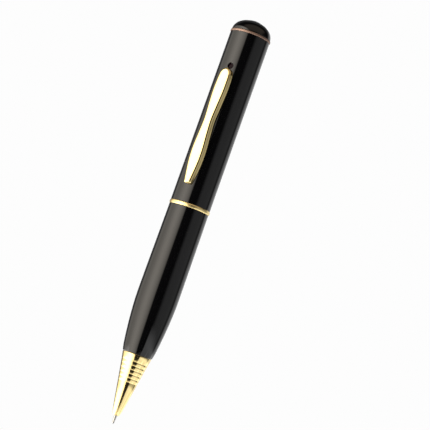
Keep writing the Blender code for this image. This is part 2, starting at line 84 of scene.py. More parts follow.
def span(name):
    """A node's lowest and highest corners in the pen's own frame, in millimetres."""
    low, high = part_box(name)
    origin = at(0.0, 0.0, 0.0)
    return (low - origin) / MM, (high - origin) / MM


BARREL_LOW, BARREL_HIGH = span("upper_barrel")
BARREL_RADIUS = BARREL_HIGH.x
BARREL_BORE = BARREL_RADIUS - 0.45
RING_BORE = 6.65                  # of both rings, and of the lower barrel's mouth
RING_LOW, RING_HIGH = span("centre_ring")
CROWN_RING_LOW, CROWN_RING_HIGH = span("crown_ring")
LOWER_LOW, LOWER_HIGH = span("lower_barrel")
NOSE_LOW, NOSE_HIGH = span("nose_cone")
CLIP_LOW, CLIP_HIGH = span("clip")
WINDOW_LOW, WINDOW_HIGH = span("lens_window")
PLUG_LOW, PLUG_HIGH = span("usb_plug_shell")
COLLAR_LOW, COLLAR_HIGH = span("usb_collar")
LINER_LOW, LINER_HIGH = span("plug_liner")
PEN_TOP = span("power_button")[1].z
LENS_Z = (WINDOW_LOW.z + WINDOW_HIGH.z) / 2
LUG_Z = CLIP_HIGH.z - 2.9         # where the clip's lug enters the barrel
MICROPHONE_Z = 117.0              # the pinhole at the back


# ---------------------------------------------------------------- shader helpers

def colour(code):
    """Linear colour from an sRGB hex value."""
    values = [int(code[index:index + 2], 16) / 255 for index in (1, 3, 5)]
    linear = [v / 12.92 if v <= 0.04045 else ((v + 0.055) / 1.055) ** 2.4 for v in values]
    return (*linear, 1.0)


def node(tree, kind, sockets=None, **settings):
    """Add a node; each socket takes a value or another node's output."""
    made = tree.nodes.new(kind)
    for key, value in settings.items():
        setattr(made, key, value)
    for key, value in (sockets or {}).items():
        if isinstance(value, bpy.types.NodeSocket):
            tree.links.new(value, made.inputs[key])
        else:
            made.inputs[key].default_value = value
    return made


def blank(name):
    """A new material with its shader, and the place on the piece that its patterns read."""
    made = bpy.data.materials.new(name)
    made.use_nodes = True
    tree = made.node_tree
    shader = tree.nodes["Principled BSDF"]
    place = node(tree, "ShaderNodeTexCoord").outputs["Object"]
    return made, tree, shader, place


def grain(tree, place, size, detail=3.0, stretch=(1.0, 1.0, 1.0)):
    """Soft noise whose patches are about size millimetres across."""
    moved = node(tree, "ShaderNodeMapping", {"Vector": place, "Scale": stretch}).outputs["Vector"]
    sockets = {"Vector": moved, "Scale": 1.0 / (size * MM), "Detail": detail}
    return node(tree, "ShaderNodeTexNoise", sockets).outputs["Fac"]


def spread(tree, value, low, high):
    """A pattern's range turned into another range."""
    sockets = {"Value": value, "From Min": 0.3, "From Max": 0.7, "To Min": low, "To Max": high}
    return node(tree, "ShaderNodeMapRange", sockets).outputs["Result"]


def relief(tree, height, depth, strength=1.0, below=None):
    """Bump of a depth in millimetres."""
    sockets = {"Height": height, "Distance": depth * MM, "Strength": strength}
    if below is not None:
        sockets["Normal"] = below
    return node(tree, "ShaderNodeBump", sockets).outputs["Normal"]


def tint(tree, value, first, second):
    """Colour that runs between two hex values with a pattern."""
    mix = node(tree, "ShaderNodeMix", data_type="RGBA")
    tree.links.new(value, mix.inputs[0])
    mix.inputs[6].default_value = colour(first)
    mix.inputs[7].default_value = colour(second)
    return mix.outputs[2]


def wire_up(tree, shader, **links):
    """Link outputs to the shader's sockets, named with underscores."""
    for key, output in links.items():
        tree.links.new(output, shader.inputs[key.replace("_", " ")])


# ---------------------------------------------------------------- finishes

def black_lacquer():
    """Baked gloss lacquer over brass: a near-black mirror with a faint orange peel and haze."""
    made, tree, shader, place = blank("baked_black_lacquer")
    shader.inputs["IOR"].default_value = 1.53
    cloud = grain(tree, place, 9.0)
    fine = grain(tree, place, 0.5, 4.0)
    shade = tint(tree, cloud, "#040405", "#08080A")
    haze = node(tree, "ShaderNodeMath", {0: cloud, 1: fine}, operation="MULTIPLY").outputs[0]
    sockets = {"Value": haze, "From Min": 0.1, "From Max": 0.5, "To Min": 0.05, "To Max": 0.09}
    gloss = node(tree, "ShaderNodeMapRange", sockets).outputs["Result"]
    peel = relief(tree, grain(tree, place, 1.6, 1.0), 0.0006, 0.35)
    wire_up(tree, shader, Base_Color=shade, Roughness=gloss, Normal=peel)
    return made


def gold_plate(name, low, high, ring_marks=False):
    """Gold over brass: a warm pale mirror, or satin; turned pieces keep fine lathe rings."""
    made, tree, shader, place = blank(name)
    shader.inputs["Metallic"].default_value = 1.0
    cloud = grain(tree, place, 5.0)
    smear = grain(tree, place, 0.4, 4.0, (1.0, 1.0, 0.25))
    shade = tint(tree, cloud, "#FCE8AA", "#F8DE98")
    gloss = spread(tree, smear, low, high)
    below = relief(tree, grain(tree, place, 0.7, 2.0), 0.0006, 0.3)
    if ring_marks:
        # Lathe rings are about 0.05 mm apart; drawn at 0.16 mm so that they show.
        sockets = {"Vector": place, "Scale": WAVE_PERIOD / (0.16 * MM), "Distortion": 0.4}
        lines = node(tree, "ShaderNodeTexWave", sockets, bands_direction="Z").outputs["Fac"]
        below = relief(tree, lines, 0.0012, 0.5, below)
    wire_up(tree, shader, Base_Color=shade, Roughness=gloss, Normal=below)
    return made


def copper_plate():
    """Copper-toned plating, satin: browner and softer than the gold."""
    made, tree, shader, place = blank("satin_copper_plate")
    shader.inputs["Metallic"].default_value = 1.0
    shade = tint(tree, grain(tree, place, 2.5), "#A88F81", "#947A6D")
    gloss = spread(tree, grain(tree, place, 0.3), 0.52, 0.62)
    blasted = relief(tree, grain(tree, place, 0.4), 0.001, 0.3)
    wire_up(tree, shader, Base_Color=shade, Roughness=gloss, Normal=blasted)
    return made


def bright_steel(name, first, second, low, high):
    """Drawn or pressed steel and turned brass: fine lines along the draw and a satin gloss."""
    made, tree, shader, place = blank(name)
    shader.inputs["Metallic"].default_value = 1.0
    lines = grain(tree, place, 0.5, 4.0, (6.0, 6.0, 0.5))
    shade = tint(tree, grain(tree, place, 3.0), first, second)
    gloss = spread(tree, lines, low, high)
    drawn = relief(tree, lines, 0.0015, 0.5)
    wire_up(tree, shader, Base_Color=shade, Roughness=gloss, Normal=drawn)
    return made


def moulded(name, first, second, rough_low, rough_high, texture=0.12):
    """Moulded ABS or nylon: a fine spark-eroded texture and slightly uneven colour."""
    made, tree, shader, place = blank(name)
    shader.inputs["IOR"].default_value = 1.5
    pits = grain(tree, place, texture, 3.0)
    shade = tint(tree, grain(tree, place, 4.0), first, second)
    gloss = spread(tree, pits, rough_low, rough_high)
    pitted = relief(tree, pits, 0.004, 0.6)
    wire_up(tree, shader, Base_Color=shade, Roughness=gloss, Normal=pitted)
    return made


def coated_glass():
    """Optical glass before a dark chamber, with a purple anti-reflection coating whose reflection
    is painted into the base colour, stronger at glancing views.
    """
    made, tree, shader, place = blank("coated_optical_glass")
    shader.inputs["IOR"].default_value = 1.15
    # Painted reflection: the coating's purple goes into the base colour and grows as the view
    # glances across the glass.
    facing = node(tree, "ShaderNodeLayerWeight", {"Blend": 0.35}).outputs["Facing"]
    film = grain(tree, place, 0.6)
    edge = node(tree, "ShaderNodeMath", {0: facing, 1: film}, operation="MULTIPLY").outputs[0]
    shade = tint(tree, edge, "#1A0A10", "#4A1E3C")
    wire_up(tree, shader, Base_Color=shade, Roughness=spread(tree, film, 0.03, 0.06))
    return made


def circuit_board():
    """Solder mask over copper tracks on glass epoxy: raised paths and bare pads."""
    made, tree, shader, place = blank("green_solder_mask")
    shader.inputs["IOR"].default_value = 1.5
    sockets = {"Vector": place, "Scale": 1.0 / (4.0 * MM), "Mortar Size": 0.05}
    tracks = node(tree, "ShaderNodeTexBrick", sockets).outputs["Fac"]
    sockets = {"Vector": place, "Scale": 1.0 / (1.6 * MM)}
    dots = node(tree, "ShaderNodeTexVoronoi", sockets).outputs["Distance"]
    pads = node(tree, "ShaderNodeMath", {0: dots, 1: 0.16}, operation="LESS_THAN").outputs[0]
    mask = tint(tree, tracks, "#0E4A24", "#1B6A38")
    shade = node(tree, "ShaderNodeMix", data_type="RGBA")
    tree.links.new(pads, shade.inputs[0])
    tree.links.new(mask, shade.inputs[6])
    shade.inputs[7].default_value = colour("#C9A24A")
    raised = relief(tree, tracks, 0.03)
    wire_up(tree, shader, Base_Color=shade.outputs[2], Metallic=pads, Normal=raised)
    shader.inputs["Roughness"].default_value = 0.35
    return made


def battery_foil():
    """Laminated aluminium pouch: satin with shallow folds, its colour darker in their hollows as
    painted shade.
    """
    made, tree, shader, place = blank("laminated_foil")
    shader.inputs["Metallic"].default_value = 1.0
    crease_height_and_shade = grain(tree, place, 2.2, 5.0)
    # Painted shade: the colour follows the folds' height, darker in their hollows and paler on
    # their crests.
    shade = tint(tree, crease_height_and_shade, "#C4C7CA", "#DADCDE")
    gloss = spread(tree, crease_height_and_shade, 0.28, 0.42)
    folds = relief(tree, crease_height_and_shade, 0.06, 0.6)
    wire_up(tree, shader, Base_Color=shade, Roughness=gloss, Normal=folds)
    return made


def clear_resin():
    """Tinted lamp resin: smooth, glossy and faintly cloudy."""
    made, tree, shader, place = blank("tinted_lamp_resin")
    shader.inputs["IOR"].default_value = 1.54
    cloud = grain(tree, place, 0.5)
    wire_up(
        tree, shader, Base_Color=tint(tree, cloud, "#3FBF63", "#6FDB8C"),
        Roughness=spread(tree, cloud, 0.10, 0.18),
    )
    return made


def polyimide_film():
    """Amber film over copper strips 0.4 mm apart."""
    made, tree, shader, place = blank("polyimide_ribbon")
    shader.inputs["IOR"].default_value = 1.6
    sockets = {"Vector": place, "Scale": WAVE_PERIOD / (0.4 * MM)}
    strips = node(tree, "ShaderNodeTexWave", sockets, bands_direction="X").outputs["Fac"]
    shade = tint(tree, strips, "#8A4A12", "#C47A2C")
    wire_up(tree, shader, Base_Color=shade, Normal=relief(tree, strips, 0.01))
    shader.inputs["Roughness"].default_value = 0.25
    return made


LACQUER = black_lacquer()
GOLD = gold_plate("polished_gold_plate", 0.10, 0.17)
TURNED_GOLD = gold_plate("turned_gold_plate", 0.09, 0.14, True)
SATIN_GOLD = gold_plate("satin_gold_plate", 0.28, 0.36)
COPPER = copper_plate()
STEEL = bright_steel("pressed_stainless_steel", "#B9BBBD", "#A6A8AB", 0.20, 0.34)
TIP_STEEL = bright_steel("turned_nickel_silver", "#A9A8A4", "#BDBCB8", 0.22, 0.34)
BRASS = bright_steel("turned_brass", "#D3B06C", "#C19B55", 0.25, 0.40)
BLACK_ABS = moulded("moulded_black_abs", "#121213", "#1A1A1B", 0.38, 0.55)
GREY_ABS = moulded("moulded_grey_abs", "#8C8F92", "#7E8184", 0.45, 0.6)
WHITE_NYLON = moulded("moulded_white_nylon", "#E6E5E0", "#DAD8D1", 0.35, 0.5)
CHIP_EPOXY = moulded("moulded_chip_epoxy", "#202123", "#2A2B2D", 0.45, 0.6, 0.08)
RED_PVC = moulded("extruded_red_pvc", "#B3261E", "#9E1F18", 0.3, 0.42)
BLACK_PVC = moulded("extruded_black_pvc", "#17171A", "#101012", 0.3, 0.42)
GLASS = coated_glass()
BOARD = circuit_board()
FOIL = battery_foil()
RESIN = clear_resin()
FILM = polyimide_film()

SLOT_LOOKS = {
    "black_lacquer": LACQUER, "gold_plate": GOLD, "copper_plate": COPPER, "bright_steel": STEEL,
    "turned_brass": BRASS, "black_plastic": BLACK_ABS, "grey_plastic": GREY_ABS,
    "white_plastic": WHITE_NYLON, "dark_glass": GLASS, "circuit_board": BOARD,
    "chip_epoxy": CHIP_EPOXY, "battery_foil": FOIL, "red_insulation": RED_PVC,
    "black_insulation": BLACK_PVC, "ribbon_film": FILM, "lamp_resin": RESIN,
}


def dress_frame():
    """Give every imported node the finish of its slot."""
    for part in frame["record"]["subparts"]:
        item = bpy.data.objects[part["node"]]
        item.data.materials.clear()
        item.data.materials.append(SLOT_LOOKS[part["material_slot"]])


dress_frame()


# ---------------------------------------------------------------- shape helpers

def deselect():
    """Start an edit with nothing selected."""
    bpy.ops.object.select_all(action="DESELECT")


def settle(piece, look, angle=35.0):
    """Put the place into the mesh, smooth the round faces and give the finish."""
    deselect()
    bpy.context.view_layer.objects.active = piece
    piece.select_set(True)
    bpy.ops.object.transform_apply(location=True, rotation=True, scale=True)
    bpy.ops.object.shade_smooth_by_angle(angle=math.radians(angle))
    piece.data.materials.clear()
    piece.data.materials.append(look)
    return piece


def join_body(piece, body, node_name=None):
    """Say which body a piece rides on and which node it stands for, and hide that node."""
    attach(piece, body)
    if node_name is not None:
        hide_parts(node_name)
    return piece


def softened(outline, radius, closed, steps=3):
    """An outline with each real corner replaced by a small round."""
    count = len(outline)
    points = []
    for index, corner in enumerate(outline):
        if not closed and index in (0, count - 1):
            points.append(corner)
            continue
        here = Vector(corner)
        before = Vector(outline[index - 1]) - here
        after = Vector(outline[(index + 1) % count]) - here
        bend = math.pi - before.angle(after)
        if bend < math.radians(18.0):
            points.append(corner)
            continue
        reach = min(radius, before.length * 0.45, after.length * 0.45)
        first = here + before.normalized() * reach
        last = here + after.normalized() * reach
        for step in range(steps + 1):
            t = step / steps
            spot = first * (1 - t) ** 2 + here * 2 * t * (1 - t) + last * t ** 2
            points.append((spot.x, spot.y))
    return points


def spun(name, outline, steps=STEPS, radius=0.08):
    """Draw an outline of (radius, height) with extrusions and spin it round the pen's axis."""
    closed = outline[0][0] > 0.0
    points = softened(outline, radius, closed)
    if closed:
        points = points + points[:1]
    deselect()
    bpy.ops.mesh.primitive_plane_add(size=MM, location=at(points[0][0], 0.0, points[0][1]))
    piece = bpy.context.object
    piece.name = name
    piece.data.name = name
    bpy.ops.object.mode_set(mode="EDIT")
    bpy.ops.mesh.merge(type="CENTER")
    for before, after in zip(points, points[1:]):
        move = ((after[0] - before[0]) * MM, 0.0, (after[1] - before[1]) * MM)
        bpy.ops.mesh.extrude_region_move(TRANSFORM_OT_translate={"value": move})
    bpy.ops.mesh.select_all(action="SELECT")
    bpy.ops.mesh.spin(steps=steps, angle=math.tau, center=at(0.0, 0.0, 0.0), axis=(0.0, 0.0, 1.0))
    bpy.ops.mesh.select_all(action="SELECT")
    bpy.ops.mesh.remove_doubles(threshold=WELD)
    bpy.ops.mesh.normals_make_consistent(inside=False)
    bpy.ops.object.mode_set(mode="OBJECT")
    return piece


def boxed(name, low, high, width=0.1, segments=2):
    """A box between two corners with every edge rounded in edit mode."""
    deselect()
    middle = [(a + b) / 2 for a, b in zip(low, high)]
    size = [(b - a) * MM for a, b in zip(low, high)]
    bpy.ops.mesh.primitive_cube_add(size=1.0, location=at(*middle), scale=size)
    piece = bpy.context.object
    piece.name = name
    piece.data.name = name
    bpy.ops.object.transform_apply(location=True, rotation=True, scale=True)
    if width > 0.0:
        bpy.ops.object.mode_set(mode="EDIT")
        bpy.ops.mesh.select_all(action="SELECT")
        bpy.ops.mesh.bevel(offset=width * MM, segments=segments, affect="EDGES")
        bpy.ops.object.mode_set(mode="OBJECT")
    return piece


def apply_modifier(piece, kind, **settings):
    """Add one modifier to a piece and make its result the mesh."""
    deselect()
    bpy.context.view_layer.objects.active = piece
    piece.select_set(True)
    made = piece.modifiers.new(kind.lower(), kind)
    for key, value in settings.items():
        setattr(made, key, value)
    bpy.ops.object.modifier_apply(modifier=made.name)


def cut(piece, tool):
    """Take a tool's shape out of a piece, and remove the tool."""
    apply_modifier(piece, "BOOLEAN", operation="DIFFERENCE", object=tool, solver="EXACT")
    bpy.data.objects.remove(tool, do_unlink=True)


def turn_to_front(piece, height):
    """Swing a tool that was spun round the pen's axis so that it points out at -Y."""
    deselect()
    bpy.context.view_layer.objects.active = piece
    piece.select_set(True)
    bpy.ops.object.mode_set(mode="EDIT")
    bpy.ops.mesh.select_all(action="SELECT")
    bpy.ops.transform.rotate(
        value=-math.pi / 2, orient_axis="X", orient_type="GLOBAL",
        center_override=at(0.0, 0.0, 0.0),
    )
    bpy.ops.transform.translate(value=(0.0, 0.0, height * MM))
    bpy.ops.object.mode_set(mode="OBJECT")
    return piece


def keep_round(piece, radius):
    """Point the outside's normals straight out, so that cut holes don't dent its shine."""
    mesh = piece.data
    corners = [Vector(item.vector) for item in mesh.corner_normals]
    for face in mesh.polygons:
        for index in face.loop_indices:
            spot = mesh.vertices[mesh.loops[index].vertex_index].co
            out = Vector((spot.x - AXIS_X, spot.y - AXIS_Y, 0.0))
            on_skin = abs(out.length - radius * MM) < 0.02 * MM
            if on_skin and face.normal.dot(out.normalized()) > 0.98:
                corners[index] = out.normalized()
    mesh.normals_split_custom_set(corners)


def through(rows, samples):
    """A smooth curve of (radius, height) through rows that run downwards."""
    points = []
    for index in range(len(rows) - 1):
        first = Vector(rows[max(index - 1, 0)])
        start = Vector(rows[index])
        end = Vector(rows[index + 1])
        last = Vector(rows[min(index + 2, len(rows) - 1)])
        for step in range(samples):
            t = step / samples
            point = start * 2 + (end - first) * t
            point += (first * 2 - start * 5 + end * 4 - last) * t ** 2
            point += (start * 3 - first - end * 3 + last) * t ** 3
            points.append(tuple(point / 2))
    points.append(tuple(rows[-1]))
    return points


# ---------------------------------------------------------------- barrels, rings and crown

def make_upper_barrel():
    """Lacquered tube with a countersunk lens hole, the clip's slot and a microphone pinhole."""
    top, base = BARREL_HIGH.z, BARREL_LOW.z
    # Extra rings of points keep each hole's long faces short.
    heights = (top, LENS_Z + 2.0, LUG_Z - 1.4, MICROPHONE_Z + 1.2, MICROPHONE_Z - 1.2, base)
    outline = [(BARREL_RADIUS, height) for height in heights]
    outline += [(BARREL_BORE, base), (BARREL_BORE, top)]
    tube = spun("upper_barrel_tube", outline, STEPS, 0.07)
    sink = [(0.0, 9.0), (1.45, 9.0), (1.27, 7.2), (1.05, 6.98), (1.05, 5.0), (0.0, 5.0)]
    cut(tube, turn_to_front(spun("lens_sink", sink, SMALL_STEPS, 0.0), LENS_Z))
    slot = boxed("slot_tool", (-1.7, -9.0, LUG_Z - 0.85), (1.7, -5.0, LUG_Z + 0.85), 0.3, 3)
    cut(tube, slot)
    pinhole = [(0.0, -5.0), (0.4, -5.0), (0.4, -7.02), (0.55, -7.2), (0.55, -9.0), (0.0, -9.0)]
    cut(tube, turn_to_front(spun("microphone_tool", pinhole, 32, 0.0), MICROPHONE_Z))
    settle(tube, LACQUER)
    keep_round(tube, BARREL_RADIUS)
    join_body(tube, "camera_half", "upper_barrel")


def make_crown():
    """Crown with a shouldered dome, its plated band, and the power button at its peak."""
    ring_z = CROWN_RING_HIGH.z - 0.4
    base = CROWN_RING_HIGH.z + 0.05
    shoulder = through(
        [(3.9, ring_z + 4.75), (4.4, ring_z + 4.52), (5.05, ring_z + 4.12), (5.9, ring_z + 3.42),
         (6.6, ring_z + 2.45), (6.97, ring_z + 1.45), (7.1, base + 0.1)], 5,
    )
    outline = [(3.55, 144.9), (3.55, ring_z + 4.7), (3.64, ring_z + 4.84)] + shoulder
    outline += [(7.02, base), (6.6, base), (6.6, 138.5), (4.7, 138.5), (4.7, 141.0), (3.55, 141.0)]
    cap = settle(spun("crown_cap", outline, STEPS, 0.05), LACQUER)
    join_body(cap, "camera_half", "crown")
    low, high = CROWN_RING_LOW.z, CROWN_RING_HIGH.z
    middle = (low + high) / 2
    bulge = [(7.16, high), (7.26, high - 0.12), (7.3, middle), (7.26, low + 0.12), (7.16, low)]
    outline = through(bulge, 4) + [(RING_BORE, low), (RING_BORE, high)]
    band = spun("crown_band", outline, STEPS, 0.05)
    join_body(settle(band, COPPER), "camera_half", "crown_ring")
    edge = ring_z + 4.85
    head = through(
        [(0.4, PEN_TOP - 0.03), (1.3, PEN_TOP - 0.25), (2.5, edge + 0.42), (3.1, edge + 0.18)], 5,
    )
    outline = [(0.0, PEN_TOP)] + head + [(3.4, edge), (3.4, 140.95), (4.5, 140.95), (4.5, 140.1)]
    outline += [(1.5, 140.1), (1.5, 137.2), (0.0, 137.2)]
    button = settle(spun("power_button_cap", outline, STEPS, 0.12), LACQUER)
    join_body(button, "power_button", "power_button")


def make_lower_barrel():
    """Lacquered lower barrel: full at its middle and rounding down to the nose cone."""
    top, base = LOWER_HIGH.z, LOWER_LOW.z
    side = through(
        [(7.1, top), (7.15, 72.0), (7.24, 60.0), (7.3, 50.0), (7.3, 45.0), (7.2, 41.7),
         (6.93, 37.5), (6.53, 33.2), (6.08, 29.3), (5.72, 26.8), (5.32, base + 0.1)], 6,
    )
    outline = side + [(5.2, base), (4.75, base), (4.75, 32.3), (6.0, 38.5)]
    outline += [(RING_BORE, 44.0), (RING_BORE, top)]
    tube = settle(spun("lower_barrel_tube", outline, STEPS, 0.06), LACQUER)
    join_body(tube, "writing_half", "lower_barrel")
    low, high = RING_LOW.z, RING_HIGH.z
    middle = (low + high) / 2
    bulge = [(7.11, high), (7.24, high - 0.23), (7.3, middle), (7.24, low + 0.23), (7.11, low)]
    outline = through(bulge, 5) + [(RING_BORE, low), (RING_BORE, high)]
    band = spun("centre_band", outline, STEPS, 0.05)
    join_body(settle(band, SATIN_GOLD), "writing_half", "centre_ring")


# ---------------------------------------------------------------- nose cone and refill

CONE_TAPER = 0.175                # radius lost per millimetre of height
GROOVE_TOP = 22.4
GROOVE_PITCH = 1.45
GROOVE_COUNT = 6
GROOVE_SHAPE = ((0.0, 0.0), (0.1, 0.8), (0.22, 1.0), (0.34, 0.8), (0.45, 0.0))
GROOVE_DEPTH = 0.035
THREAD_PITCH = 0.75


def make_nose_cone():
    """Gold cone with shallow grip grooves over its upper half, on a threaded spigot."""
    shoulder = NOSE_HIGH.z - 5.7
    tip = NOSE_LOW.z
    face = [(5.0, shoulder), (5.14, shoulder - 0.12), (5.14, shoulder - 0.45)]
    face.append((4.86, shoulder - 1.75))
    for index in range(GROOVE_COUNT):
        for down, share in GROOVE_SHAPE:
            height = GROOVE_TOP - index * GROOVE_PITCH - down
            crest = 4.85 - (23.0 - height) * CONE_TAPER
            face.append((crest - GROOVE_DEPTH * share, height))
    face += [(2.83, 11.3), (2.25, 7.9), (1.62, 4.6), (1.33, 3.6), (1.13, tip + 0.1), (0.97, tip)]
    bore = [(0.6, tip), (0.6, 3.4), (1.3, 5.2), (1.3, 14.0), (3.1, 17.0), (3.1, 30.5)]
    spigot = [(3.72, 30.5), (3.72, shoulder + 0.4), (3.6, shoulder)]
    cone = settle(spun("nose_cone_turned", face + bore + spigot, STEPS, 0.05), TURNED_GOLD, 30.0)
    join_body(cone, "nose_cone", "nose_cone")
    make_thread("nose_thread", 3.70, 4.0, 25.5, THREAD_PITCH, 6)


def make_thread(name, root, crest, base, pitch, turns):
    """A triangular ridge wound round the spigot, closed at both ends."""
    deselect()
    bpy.ops.mesh.primitive_plane_add(size=MM, location=at(root, 0.0, base))
    ridge = bpy.context.object
    ridge.name = name
    ridge.data.name = name
    bpy.ops.object.mode_set(mode="EDIT")
    bpy.ops.mesh.merge(type="CENTER")
    moves = [(crest - root, pitch * 0.42), (0.0, pitch * 0.08), (root - crest, pitch * 0.42)]
    for out, up in moves:
        move = (out * MM, 0.0, up * MM)
        bpy.ops.mesh.extrude_region_move(TRANSFORM_OT_translate={"value": move})
    bpy.ops.mesh.select_all(action="SELECT")
    bpy.ops.mesh.edge_face_add()
    bpy.ops.mesh.delete(type="ONLY_FACE")
    bpy.ops.object.mode_set(mode="OBJECT")
    bpy.ops.object.transform_apply(location=True, rotation=True, scale=True)
    centre = bpy.data.objects.new("thread_centre", None)
    bpy.context.scene.collection.objects.link(centre)
    centre.location = at(0.0, 0.0, 0.0)
    bpy.context.view_layer.update()
    apply_modifier(
        ridge, "SCREW", object=centre, axis="Z", angle=math.tau, screw_offset=pitch * MM,
        iterations=turns, steps=SMALL_STEPS, render_steps=SMALL_STEPS, use_merge_vertices=False,
    )
    bpy.data.objects.remove(centre, do_unlink=True)
    bpy.ops.object.mode_set(mode="EDIT")
    bpy.ops.mesh.select_all(action="SELECT")
    bpy.ops.mesh.fill_holes(sides=4)
    bpy.ops.mesh.select_all(action="SELECT")
    bpy.ops.mesh.normals_make_consistent(inside=False)
    bpy.ops.object.mode_set(mode="OBJECT")
    settle(ridge, TURNED_GOLD)
    join_body(ridge, "nose_cone")


def make_refill():
    """Nickel silver point, stepped down to the ball's socket, and the ball itself."""
    outline = [
        (0.0, 11.0), (0.9, 11.0), (0.9, 8.0), (1.15, 8.0), (1.15, 5.7), (0.52, 4.0), (0.5, 1.5),
        (0.44, 1.25), (0.40, 0.6), (0.385, 0.42), (0.375, 0.42), (0.375, 0.78), (0.0, 0.78),
    ]
    point = settle(spun("refill_point_turned", outline, SMALL_STEPS, 0.03), TIP_STEEL)
    join_body(point, "refill", "refill_point")
    radius, steps = 0.35, 24
    outline = [(0.0, radius * 2)]
    for step in range(1, steps):
        angle = math.pi * step / steps
        outline.append((radius * math.sin(angle), radius + radius * math.cos(angle)))
    outline.append((0.0, 0.0))
    ball = settle(spun("writing_ball_polished", outline, 48, 0.0), STEEL, 60.0)
    join_body(ball, "writing_ball", "writing_ball")
    tube = [(1.175, 48.8), (1.175, 8.05), (0.95, 8.05), (0.95, 48.8)]
    sleeve = settle(spun("refill_tube_drawn", tube, SMALL_STEPS, 0.04), BRASS)
    join_body(sleeve, "refill", "refill_tube")


# ---------------------------------------------------------------- clip

CLIP_WIDTHS = [                   # (half width, height) down the clip's wavy sides
    (2.15, 124.9), (2.27, 123.0), (2.32, 119.0), (2.04, 113.8), (1.72, 108.6), (1.97, 103.5),
    (2.24, 100.0), (2.37, 96.6), (2.24, 93.1), (1.86, 89.7), (1.42, 86.5),
]
CLIP_FLAT_TOP = 113.5             # the bridge is flat between these heights
CLIP_FLAT_FOOT = 103.0
CLIP_SHEET = 0.45
CLIP_CORNER = 0.85                # how far the face rolls over into the flange
CLIP_CHAMFER = 0.07
CLIP_FLARE = 0.28                 # how far the flange leans out to its edge


def clip_side():
    """The clip's right side as (x, height) points: a round top, wavy flank and a blunt foot."""
    top_x, top_z = CLIP_WIDTHS[0]
    foot_x, foot_z = CLIP_WIDTHS[-1]
    side = []
    for step in range(1, 15):
        angle = math.pi / 2 * (1 - step / 15)
        side.append((top_x * math.cos(angle), top_z + (CLIP_HIGH.z - top_z) * math.sin(angle)))
    side += through(CLIP_WIDTHS, 8)
    for step in range(1, 10):
        angle = math.pi / 2 * step / 10
        drop = (foot_z - CLIP_LOW.z) * math.sin(angle) ** 0.8
        side.append((foot_x * math.cos(angle) ** 0.5, foot_z - drop))
    return side


def clip_front(height):
    """Distance from the pen's axis to the clip's front: flat bridge, dipping to both ends."""
    bridge = -CLIP_LOW.y
    if height > CLIP_FLAT_TOP:
        return bridge - 0.4 * ((height - CLIP_FLAT_TOP) / 10.7) ** 1.5
    if height < CLIP_FLAT_FOOT:
        return bridge - 0.75 * ((CLIP_FLAT_FOOT - height) / 16.8) ** 1.5
    return bridge


def clip_depth(height):
    """Depth of the flange: full along the bridge and foot, a little shallower at the top."""
    return 1.75 - 0.25 * min(max((height - 123.0) / 3.5, 0.0), 1.0)


def to_edge(x, height, side):
    """Distance from a point of the clip's face to its outline."""
    best = 9.0
    for (x1, z1), (x2, z2) in zip(side, side[1:]):
        run = (x2 - x1) ** 2 + (z2 - z1) ** 2
        along = min(max(((x - x1) * (x2 - x1) + (height - z1) * (z2 - z1)) / run, 0.0), 1.0)
        best = min(best, math.hypot(x - x1 - along * (x2 - x1), height - z1 - along * (z2 - z1)))
    return best


def rolled(distance, radius):
    """How far a face has dropped at a distance from an edge that it rolls over to."""
    inside = min(max(1.0 - distance / radius, 0.0), 1.0)
    return radius * (1.0 - math.sqrt(1.0 - inside ** 2))


def clip_ring(row, side, steps):
    """One closed section of the clip as (x, distance from the axis) points."""
    half, height = side[row]
    x1, z1 = side[max(row - 1, 0)]
    x2, z2 = side[min(row + 1, len(side) - 1)]
    lean = math.hypot(x2 - x1, z2 - z1) / max(abs(z2 - z1), 0.01)
    inner = max(half - CLIP_SHEET * min(lean, 3.0), 0.3 * half)
    front = clip_front(height)
    edge = front - clip_depth(height)
    flare = CLIP_FLARE * min(half / 1.9, 1.0) ** 2
    rim = half + flare
    outside = [(rim - CLIP_CHAMFER, edge), (rim, edge + CLIP_CHAMFER)]
    hollow = []
    for step in range(steps + 1):
        across = math.sin(math.pi / 2 * (1 - 2 * step / steps))
        gap = to_edge(abs(half * across), height, side)
        dome = 0.12 * across ** 2 * min(half / 2.2, 1.0)
        roof = max(front - dome - rolled(gap, CLIP_CORNER), edge + CLIP_CHAMFER * 2)
        outside.append((half * across, roof))
        gap = to_edge(abs(inner * across), height, side) - CLIP_SHEET
        ceiling = front - CLIP_SHEET - dome - rolled(gap, CLIP_CORNER - CLIP_SHEET)
        hollow.append((-inner * across, max(ceiling, edge) if gap > -0.02 else edge))
    outside += [(-rim, edge + CLIP_CHAMFER), (CLIP_CHAMFER - rim, edge)]
    return outside + [(-inner - flare, edge)] + hollow + [(inner + flare, edge)]


def make_clip():
    """Pressed and plated clip: one dished sheet with a rolled flange all round, and its lug."""
    side = clip_side()
    rings = [clip_ring(row, side, 24) for row in range(len(side))]
    columns = len(rings[0]) + 1
    deselect()
    bpy.ops.mesh.primitive_grid_add(
        x_subdivisions=columns - 1, y_subdivisions=len(rings) - 1, size=MM,
    )
    pan = bpy.context.object
    pan.name = "clip_pan"
    pan.data.name = "clip_pan"
    for row, ring in enumerate(rings):
        for column in range(columns):
            x, distance = ring[column % len(ring)]
            pan.data.vertices[row * columns + column].co = at(x, -distance, side[row][1])
    bpy.ops.object.mode_set(mode="EDIT")
    bpy.ops.mesh.select_all(action="SELECT")
    bpy.ops.mesh.remove_doubles(threshold=WELD)
    bpy.ops.mesh.select_all(action="SELECT")
    bpy.ops.mesh.fill_holes(sides=0)
    bpy.ops.mesh.select_all(action="SELECT")
    bpy.ops.mesh.normals_make_consistent(inside=False)
    bpy.ops.object.mode_set(mode="OBJECT")
    settle(pan, GOLD, 40.0)
    join_body(pan, "clip", "clip")
    lug = boxed("clip_lug_tab", (-1.5, -9.0, LUG_Z - 0.6), (1.5, -5.25, LUG_Z + 0.6), 0.15, 3)
    join_body(settle(lug, GOLD), "clip")


# ---------------------------------------------------------------- lens

